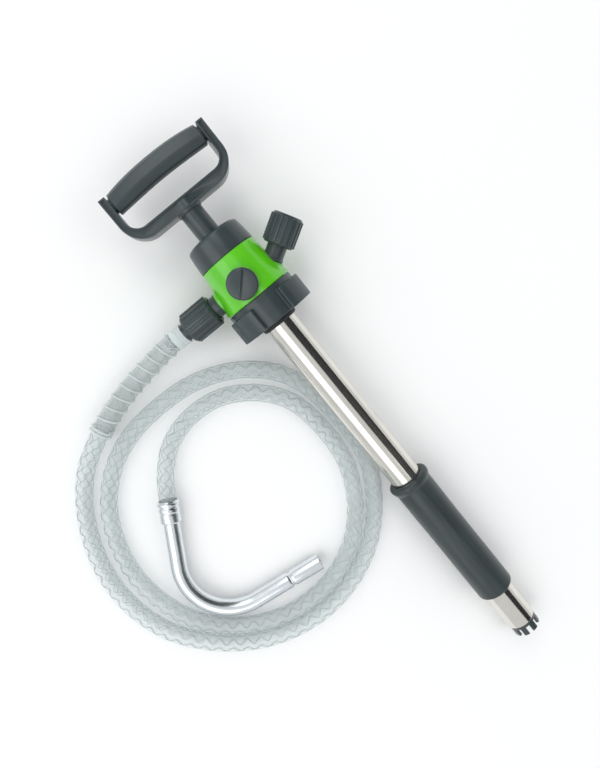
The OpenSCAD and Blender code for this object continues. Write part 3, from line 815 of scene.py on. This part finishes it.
cap = settle(turned("cap_cover", rounded([
    (10.9, -91.6, 0.4), (16.5, -91.6, 0.3), (17.0, -92.2, 0.3), (20.9, -92.0, 0.5),
    (25.8, -90.2, 3.6), (26.8, -82.4, 2.5), (27.3, -78.2, 2), (27.9, -69.4, 0.5), (23.1, -69.4),
    (23.1, -80.5), (18, -80.5), (10.9, -80.5)], 0.3, 5), 128), PUMP)
smooth(cap, 40)
finish_piece(cap, "pump", "dark_plastic", ["top_cap"])

cap_line = settle(turned("cap_line", [
    (22.9, -69.6), (27.4, -69.6), (27.4, -68.9), (22.9, -68.9)], 96), PUMP)
finish_piece(smooth(cap_line), "pump", "black_rubber")

LOBE_EDGE, LOBE_ANGLE = 22, 46
LOBE_RADIUS = 39.2


def lobed_ring():
    ring = turned("lobed_ring", [
        (33.2, -26.4), (33.2, -21.0), (33.2, 0), (29.5, 0), (18.5, 0.01), (15.3, 0.01),
        (15.3, -6), (29.1, -6), (29.1, -26.4)], 144)
    push_out(ring, lambda c, n: abs(n.z) < 0.1 and -21 < c.z < 0 and math.hypot(c.x, c.y) > 32
             and LOBE_EDGE < angle_of(c) % 90 < LOBE_EDGE + LOBE_ANGLE, LOBE_RADIUS)
    soften(ring, 0.9, 3, 30)
    return settle(ring, PUMP)


finish_piece(lobed_ring(), "pump", "dark_plastic", ["clamp_ring"])

collar = settle(turned("collar_ring", rounded([
    (15.05, 0.2), (17.6, 0.2, 0.5), (17.6, 3.2, 0.8), (16.4, 4.6, 0.7), (15.05, 4.6)],
    0.3), 96), PUMP)
finish_piece(smooth(collar), "pump", "black_rubber", ["tube_collar"])


def ribbed(name, outline, ribs, radius, low, high, soft, closed):
    """A turned grip with ribs along it, softened all over."""
    piece = turned(name, outline, ribs * 4, closed)
    period = 360 / ribs
    core = max(r for r, z in outline)
    push_out(piece, lambda c, n: abs(n.z) < 0.1 and low < c.z < high
             and math.hypot(c.x, c.y) > core - 0.5 and angle_of(c) % period < period / 2, radius)
    return soften(piece, soft, 3, 25, 45)


KNOB_FACE = 46.5
KNOB_RIBS, KNOB_RADIUS = 18, 14.7
knob = settle(ribbed("ribbed_knob", [
    (0, KNOB_FACE + 26.0), (8.0, KNOB_FACE + 26.2), (10.6, KNOB_FACE + 27.1),
    (11.8, KNOB_FACE + 27.2), (12.9, KNOB_FACE + 26.4), (13.6, KNOB_FACE + 25.0),
    (13.6, KNOB_FACE + 1.6), (12.6, KNOB_FACE), (9.2, KNOB_FACE), (9.2, KNOB_FACE + 13.9),
    (3.2, KNOB_FACE + 13.9), (3.2, KNOB_FACE + 24.6), (0, KNOB_FACE + 24.6)],
    KNOB_RIBS, KNOB_RADIUS, KNOB_FACE + 1.5, KNOB_FACE + 25.1, 0.45, False), VALVE)
finish_piece(knob, "knob", "dark_plastic", ["valve_knob"])

stem = settle(turned("valve_stem", rounded([
    (6.0, 31), (2.6, 31), (2.6, 25), (9.0, 25), (9.0, 33.2), (9.5, 33.8, 0.3), (9.4, 35.4, 0.3),
    (8.8, 36.4, 0.4), (8.9, 45.6, 0.3), (9.0, 60, 0.6), (6.0, 60)], 0.2), 72), VALVE)
finish_piece(smooth(stem), "pump", "dark_plastic", ["valve_housing"])

NUT_START, NUT_END = 38.55, 69.55
NUT_RIBS, NUT_RADIUS = 16, 15.3
nut = settle(ribbed("ribbed_nut", [
    (10.1, NUT_START), (12.6, NUT_START), (14.1, NUT_START + 1.8), (14.1, NUT_END - 2.4),
    (12.9, NUT_END - 0.4), (11.6, NUT_END), (8.6, NUT_END), (8.6, NUT_END - 6.5),
    (10.1, NUT_END - 6.5)],
    NUT_RIBS, NUT_RADIUS, NUT_START + 1.8, NUT_END - 2.4, 0.4, True), HOSE_PORT)
finish_piece(nut, "hose_nut", "dark_plastic", ["outlet_nut"])

nipple = settle(turned("hose_nipple", rounded([
    (6.2, 23.0), (10.0, 23.0), (10.0, 31.4), (10.5, 31.8, 0.2), (10.5, 33.0, 0.3),
    (10.0, 33.6, 0.2), (10.0, 59.5, 0.4), (6.2, 59.5)], 0.2), 72), HOSE_PORT)
finish_piece(smooth(nipple), "pump", "dark_plastic", ["outlet_nipple"])

SLOT_TURN = math.radians(137)


def slotted_plug():
    plug = turned("slotted_screw", rounded([
        (0, 23.8), (10, 23.8), (10, 33.8), (13.6, 33.8, 0.4), (13.6, 37.4, 1.1),
        (12.2, 38.5, 0.8), (0, 38.7)], 0.2, 5), 96, closed=False)
    slot = block("slot_tool", (-15, -1.1, 36.2), (15, 1.1, 42))
    slot.data.transform(turn(SLOT_TURN, "Z"))
    cut(plug, slot)
    soften(plug, 0.25, 2, 50)
    return settle(plug, PLUG)


finish_piece(slotted_plug(), "plug", "dark_plastic", ["slotted_plug"])

# ---- cylinder, sleeve and foot ----

TUBE_BORE, TUBE_RADIUS = 14.0, 15.0
TUBE_TOP, TUBE_END = -9.5, 378.0
tube = settle(turned("bright_tube", rounded([
    (TUBE_BORE, TUBE_TOP), (TUBE_RADIUS, TUBE_TOP), (TUBE_RADIUS, TUBE_END, 0.35),
    (TUBE_BORE, TUBE_END, 0.25)], 0.05), 160), PUMP)
finish_piece(smooth(tube), "pump", "polished_steel", ["pump_tube"])

sleeve = settle(turned("rubber_sleeve", rounded([
    (15.02, 192.4), (16.6, 191.6, 0.5), (19.0, 191.5, 1.6), (20.6, 193.4, 1.8), (20.6, 196.6, 1.6),
    (19.3, 199.3, 1.2), (18.5, 201.0, 1.2), (18.2, 260, 2), (18.4, 334.6, 1.2), (17.4, 336.0, 0.8),
    (15.02, 336.0)], 0.4, 5), 128), PUMP)
finish_piece(smooth(sleeve, 50), "pump", "sleeve_rubber", ["grip_sleeve"])


FOOT_STEPS = 96
TOOTH_PITCH, TOOTH_GAP, TOOTH_HEIGHT = 45, 18.75, 8


def castle_foot():
    """The foot's body, with teeth extruded from its end face."""
    foot = turned("castle_foot", [
        (13.9, 357), (13.9, 378), (13.8, 378.2), (13.8, 382), (11, 382), (11, 376), (5, 376),
        (5, 372), (9, 372), (9, 357)], FOOT_STEPS)
    edit(foot)
    pick(foot, lambda c, n: abs(n.z) > 0.9 and c.z > 381.9
         and (angle_of(c) + TOOTH_GAP / 2) % TOOTH_PITCH > TOOTH_GAP)
    bpy.ops.mesh.extrude_region_move(TRANSFORM_OT_translate={"value": (0, 0, TOOTH_HEIGHT * MM)})
    done()
    soften(foot, 0.3, 2, 50)
    half_a_face = math.radians(360 / FOOT_STEPS / 2)
    return settle(foot, PUMP @ turn(half_a_face, "Z"))


finish_piece(castle_foot(), "pump", "dark_plastic", ["foot_body"])

# ---- handle and rod ----

ROD_BORE, ROD_RADIUS = 8.5, 10.5
ROD_TOP, ROD_END = -128.1, 312.5
rod = settle(turned("dark_rod", rounded([
    (ROD_BORE, ROD_TOP), (ROD_RADIUS, ROD_TOP, 0.3), (ROD_RADIUS, ROD_END, 0.3),
    (ROD_BORE, ROD_END)], 0.1), 96), PUMP)
finish_piece(smooth(rod), "plunger", "dark_plastic", ["plunger_rod"])

BOW_TOP, BAR_TOP, BAR_LOW = -169.6, -131.1, -120.1
BOW_HALF, ARM, BOW_DEPTH = 55.75, 6.5, 11
BOW_OUT, BOW_IN = 22, 12


def u_block(name, half, top, low, radius, near, far):
    """A slab with its two lower corners rounded, from x = near to far."""
    slab = block(name, (near, -half, top), (far, half, low))
    return round_edges(slab, lambda m, along: abs(along.x) > 1 and m.z > low - 0.1, radius, 14)


def bow_frame():
    frame_piece = u_block("bow_frame", BOW_HALF, BOW_TOP, BAR_LOW, BOW_OUT, -BOW_DEPTH, BOW_DEPTH)
    cut(frame_piece, u_block("gap", BOW_HALF - ARM, BOW_TOP - 3, BAR_TOP, BOW_IN,
                             -BOW_DEPTH - 2, BOW_DEPTH + 2))
    flange, groove = 1.7, 1.6
    for near, far in ((-BOW_DEPTH - 2, -BOW_DEPTH + groove), (BOW_DEPTH - groove, BOW_DEPTH + 2)):
        tool = u_block("groove", BOW_HALF - flange, BOW_TOP + flange, BAR_LOW - flange,
                       BOW_OUT - flange, near, far)
        cut(tool, u_block("island", BOW_HALF - ARM + flange, BOW_TOP - 3, BAR_TOP + flange,
                          BOW_IN + flange, near - 1, far + 1))
        cut(frame_piece, tool)
    hub = turned("hub", [
        (0, -129.0), (10.95, -129.0), (10.95, -121.5), (12.4, -120.6), (12.0, -118.4),
        (11.5, -117.8), (0, -117.8)], 64, closed=False)
    add(frame_piece, hub)
    rod_hole = turned("rod_hole", [
        (0, -128), (10.55, -128), (10.55, -110), (0, -110)], 64, closed=False)
    cut(frame_piece, rod_hole)
    soften(frame_piece, 0.5, 3, 35)
    return settle(frame_piece, PUMP)


finish_piece(bow_frame(), "plunger", "dark_plastic", ["handle_bow"])

GRIP_MIDDLE, GRIP_RISE, GRIP_HALF = -161.6, 3.0, 47.0
GRIP_SECTION = [(-11.4, 0), (-10.6, 4.5), (-7.0, 9.0), (3.4, 11.2), (10.0, 5.6), (11.4, 0)]


def hand_grip():
    """The bowed grip: a broad upper face and a narrow lower face that meet in a soft crease."""
    upper = [(z, x, 1.6) for z, x in GRIP_SECTION[1:-1]]
    lower = [(z, -x, 1.6) for z, x in reversed(GRIP_SECTION[1:-1])]
    section = rounded([(*GRIP_SECTION[0], 2)] + upper + [(*GRIP_SECTION[-1], 2)] + lower, 1.6, 4)
    count = len(section)
    bpy.ops.object.select_all(action="DESELECT")
    bpy.ops.mesh.primitive_cylinder_add(vertices=count, radius=1, depth=2, end_fill_type="NGON")
    grip = named("hand_grip")
    edit(grip)
    pick(grip, lambda m, along: abs(along.z) > 500, "EDGE")
    bpy.ops.mesh.subdivide_edgering(number_cuts=31)
    done()
    for point in grip.data.vertices:
        step = round((math.atan2(point.co.x, point.co.y) % math.tau) / math.tau * count) % count
        z, x = section[step]
        f = point.co.z
        waist = 1 - 0.10 * abs(f) ** 3  # the grip is a tenth slimmer at its ends
        height = GRIP_MIDDLE + z * waist - GRIP_RISE * (1 - f * f)
        point.co = Vector((x * waist, f * GRIP_HALF, height)) * MM
    edit(grip)
    pick(grip, lambda c, n: abs(n.y) > 0.8 and abs(c.y) > GRIP_HALF - 0.5)
    bpy.ops.mesh.inset(thickness=1.0 * MM, depth=0.6 * MM, use_individual=True)
    bpy.ops.mesh.select_all(action="SELECT")
    bpy.ops.mesh.normals_make_consistent(inside=False)
    done()
    return settle(smooth(grip, 28), PUMP)


finish_piece(hand_grip(), "plunger", "dark_plastic", ["handle_grip"])

SIDEWAYS = PUMP @ shift(0, 0, GRIP_MIDDLE) @ turn(-QUARTER, "X")
for side, start in (("near", -49.6), ("far", 46.4)):
    spacer = settle(turned(f"grip_spacer_{side}", rounded([
        (3.1, start), (7.2, start, 0.4), (7.2, start + 3.2, 0.4), (3.1, start + 3.2)],
        0.2), 48), SIDEWAYS)
    finish_piece(smooth(spacer), "plunger", "dark_plastic")

# ---- hose and spout pieces take their places ----

finish_piece(hose_wall, "pump", "clear_hose", ["hose"])
finish_piece(hose_thread, "pump", "clear_hose", material=YARN)
finish_piece(guard_sleeve, "pump", "clear_hose", ["hose_guard"], GUARD_FINISH)
finish_piece(hose_cuff, "pump", "clear_hose", material=WIRE_FINISH)
finish_piece(guard_wire, "pump", "clear_hose", material=WIRE_FINISH)
for number, wire in enumerate(guard_rings):
    stands_for = ["guard_end_ring"] if number else []
    finish_piece(smooth(wire, 80), "pump", "clear_hose", stands_for, WIRE_FINISH)
finish_piece(spout_bend, "pump", "chrome", ["spout_tube"])
finish_piece(nozzle, "pump", "chrome", ["spout_nozzle"])
finish_piece(neck_ring, "pump", "chrome")
finish_piece(ferrule, "pump", "chrome", ["spout_ferrule"])

# ---- the CAD parts that keep their shape ----

slots = {part["node"]: part["material_slot"] for part in frame["record"]["subparts"]}
for name, node in frame["nodes"].items():
    if node.hide_render:
        continue
    node.data.materials.clear()
    node.data.materials.append(FINISHES[slots.get(name, "dark_plastic")])

# ---- floor and light ----


def pale_floor():
    bpy.ops.object.select_all(action="DESELECT")
    bpy.ops.mesh.primitive_plane_add(size=9, location=(0, 0, 0))
    floor = named("floor")
    made = Finish("floor_paper", Roughness=1.0, Specular_IOR_Level=0.0)
    mottle = made.noise(3, 2, 0.5)
    made.feed("Base Color", made.blend(mottle, (0.93, 0.93, 0.93, 1), (0.95, 0.95, 0.95, 1)))
    floor.data.materials.append(made.material)


def black_card():
    """A dark card that only gloss sees; it gives bright metal its dark band."""
    bpy.ops.object.select_all(action="DESELECT")
    bpy.ops.mesh.primitive_plane_add(size=1, location=(0, 0, 0))
    card = named("black_card")
    width, height = 4.0, 2.4
    upright = turn(QUARTER, "X") @ Matrix.Diagonal((width, height, 1, 1))
    card.data.transform(shift(0, 700, 1500) @ upright)
    made = Finish("card_black", Base_Color=(0.035, 0.038, 0.038, 1), Roughness=1.0,
                  Specular_IOR_Level=0.0)
    card.data.materials.append(made.material)
    card.visible_camera = False
    card.visible_diffuse = False
    card.visible_shadow = False
    card.visible_transmission = False


def soft_light(name, where, size, power, aim=(0, 0, 0)):
    data = bpy.data.lights.new(name, "AREA")
    data.shape = "RECTANGLE"
    data.size, data.size_y = size
    data.energy = power
    lamp = bpy.data.objects.new(name, data)
    bpy.context.scene.collection.objects.link(lamp)
    direction = Vector(aim) - Vector(where)
    facing = direction.to_track_quat("-Z", "Y").to_matrix().to_4x4()
    lamp.matrix_world = Matrix.Translation(where) @ facing


def studio():
    world = bpy.data.worlds.new("studio")
    bpy.context.scene.world = world
    world.use_nodes = True
    sky = world.node_tree.nodes["Background"].inputs
    sky["Color"].default_value = (0.97, 0.99, 1.0, 1)
    sky["Strength"].default_value = 0.74
    soft_light("key", (0.1, -1.35, 1.7), (3.0, 1.5), 16, aim=(0, 0.1, 0))
    soft_light("side", (-1.5, 0.4, 1.5), (1.0, 1.8), 7)
    soft_light("fill", (0.9, 1.3, 1.9), (1.4, 1.4), 6)


pale_floor()
black_card()
studio()
bpy.context.scene.view_settings.view_transform = "Standard"
